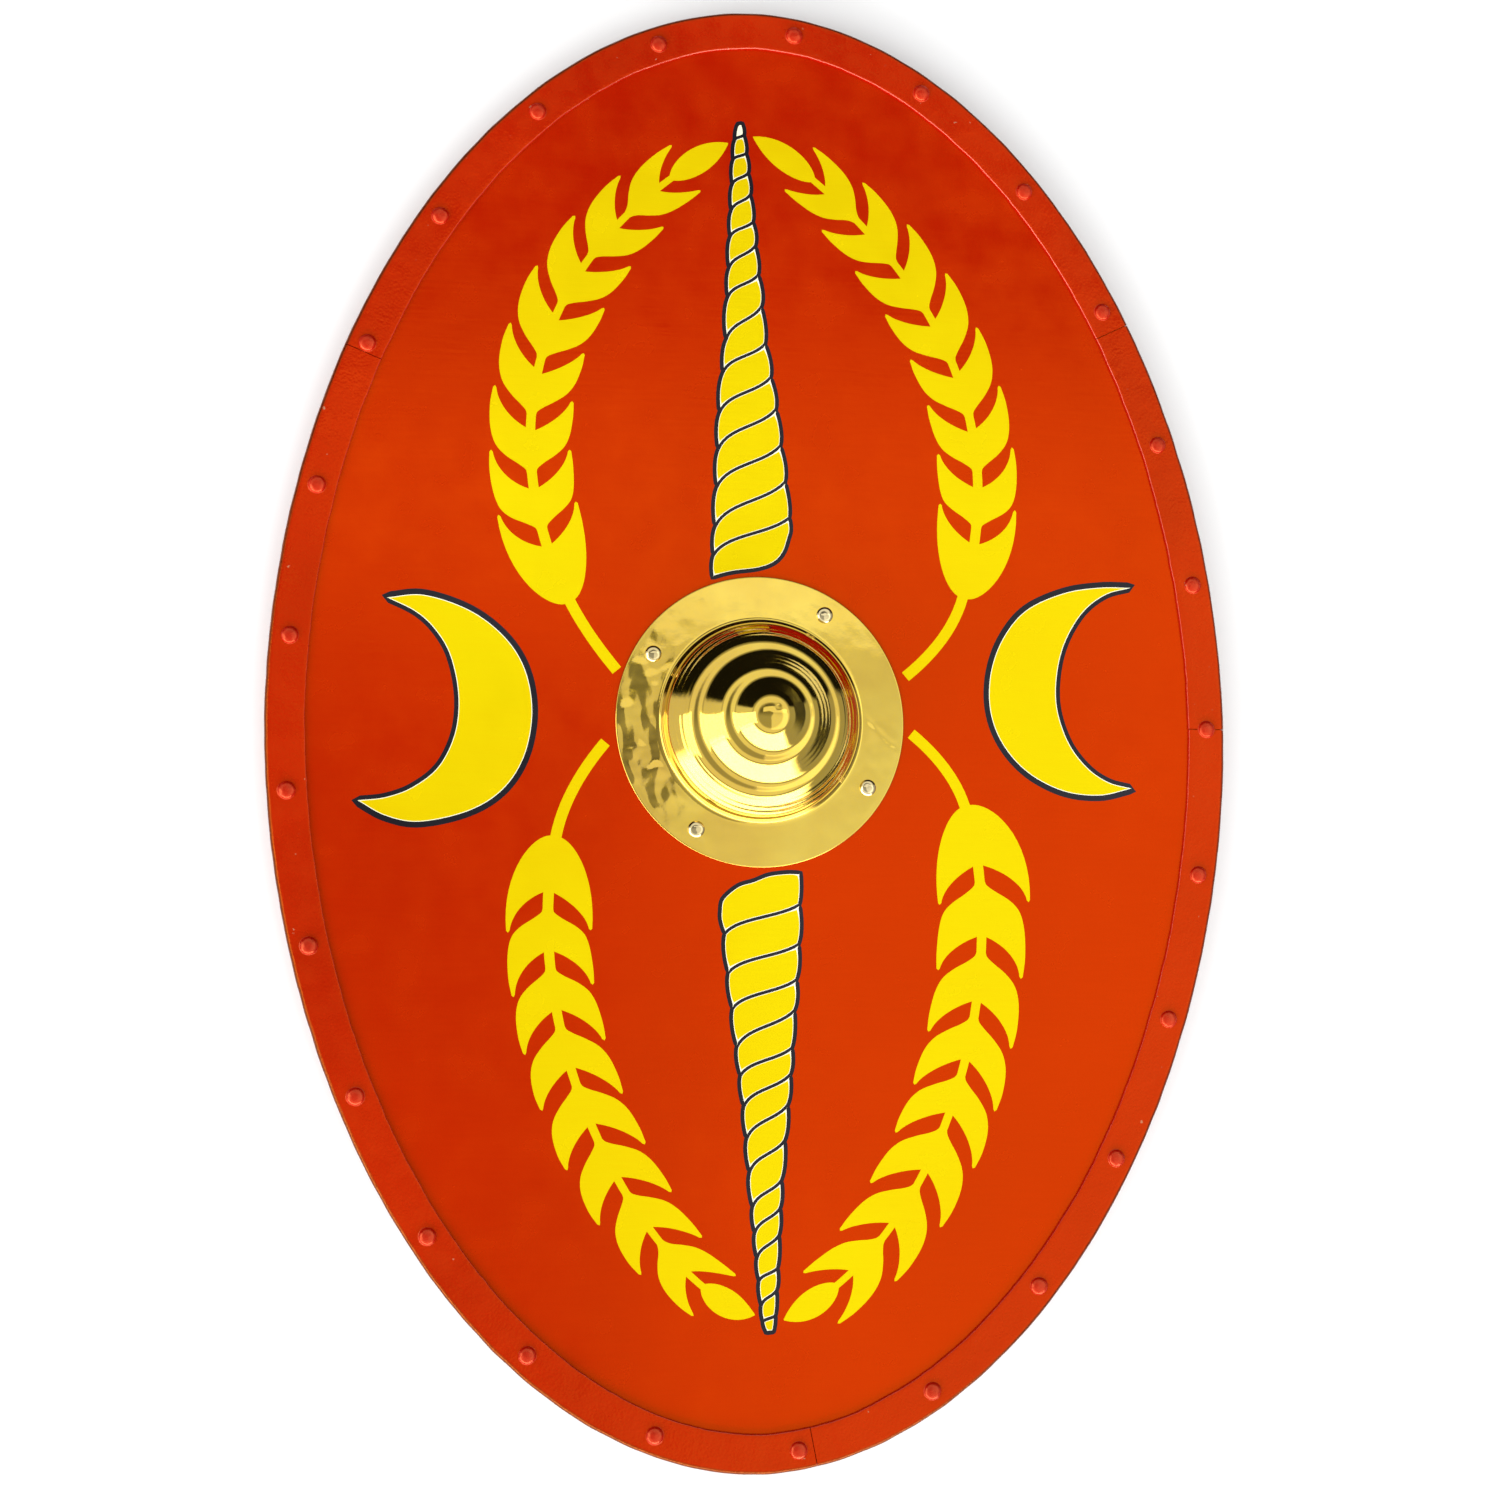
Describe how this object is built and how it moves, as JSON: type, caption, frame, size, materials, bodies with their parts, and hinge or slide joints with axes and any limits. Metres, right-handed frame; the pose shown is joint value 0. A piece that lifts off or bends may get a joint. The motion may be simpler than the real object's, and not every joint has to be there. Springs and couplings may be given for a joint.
{
  "type": "oval shield",
  "caption": "Flat oval shield of red-painted wood with a folded riveted edging, a stepped domed brass boss and a grip bar behind it.",
  "frame": {"origin": "centre of the grip's underside, straight below the middle of the boss, on the surface that the shield lies on", "axes": "+Y towards the shield's top as painted, +X to its right as seen from the front, +Z out of the painted face"},
  "size_m": [0.706, 1.065, 0.0797],
  "materials": {
    "painted_board": "glossy red brush-painted wood with flat yellow, black and white painted ornament",
    "painted_edging": "glossy red paint over folded leather, slightly wrinkled",
    "painted_rivets": "glossy red paint",
    "polished_brass": "spun and polished, slightly hammered flange",
    "grip_wood": "oiled bare wood",
    "screw_steel": "dull zinc-plated steel"
  },
  "bodies": {
    "root": {"board": "painted_board", "edging_upper_right": "painted_edging", "edging_top": "painted_edging", "edging_left": "painted_edging", "edging_lower_right": "painted_edging", "rim_rivet_01": "painted_rivets", "rim_rivet_02": "painted_rivets", "rim_rivet_03": "painted_rivets", "rim_rivet_04": "painted_rivets", "rim_rivet_05": "painted_rivets", "rim_rivet_06": "painted_rivets", "rim_rivet_07": "painted_rivets", "rim_rivet_08": "painted_rivets", "rim_rivet_09": "painted_rivets", "rim_rivet_10": "painted_rivets", "rim_rivet_11": "painted_rivets", "rim_rivet_12": "painted_rivets", "rim_rivet_13": "painted_rivets", "rim_rivet_14": "painted_rivets", "rim_rivet_15": "painted_rivets", "rim_rivet_16": "painted_rivets", "rim_rivet_17": "painted_rivets", "rim_rivet_18": "painted_rivets", "rim_rivet_19": "painted_rivets", "rim_rivet_20": "painted_rivets", "rim_rivet_21": "painted_rivets", "rim_rivet_22": "painted_rivets", "rim_rivet_23": "painted_rivets", "rim_rivet_24": "painted_rivets", "rim_rivet_25": "painted_rivets", "boss": "polished_brass", "boss_rivet_1": "polished_brass", "boss_rivet_2": "polished_brass", "boss_rivet_3": "polished_brass", "boss_rivet_4": "polished_brass", "grip": "grip_wood", "grip_screw_1": "screw_steel", "grip_screw_2": "screw_steel", "grip_screw_3": "screw_steel", "grip_screw_4": "screw_steel"}
  },
  "joints": []
}
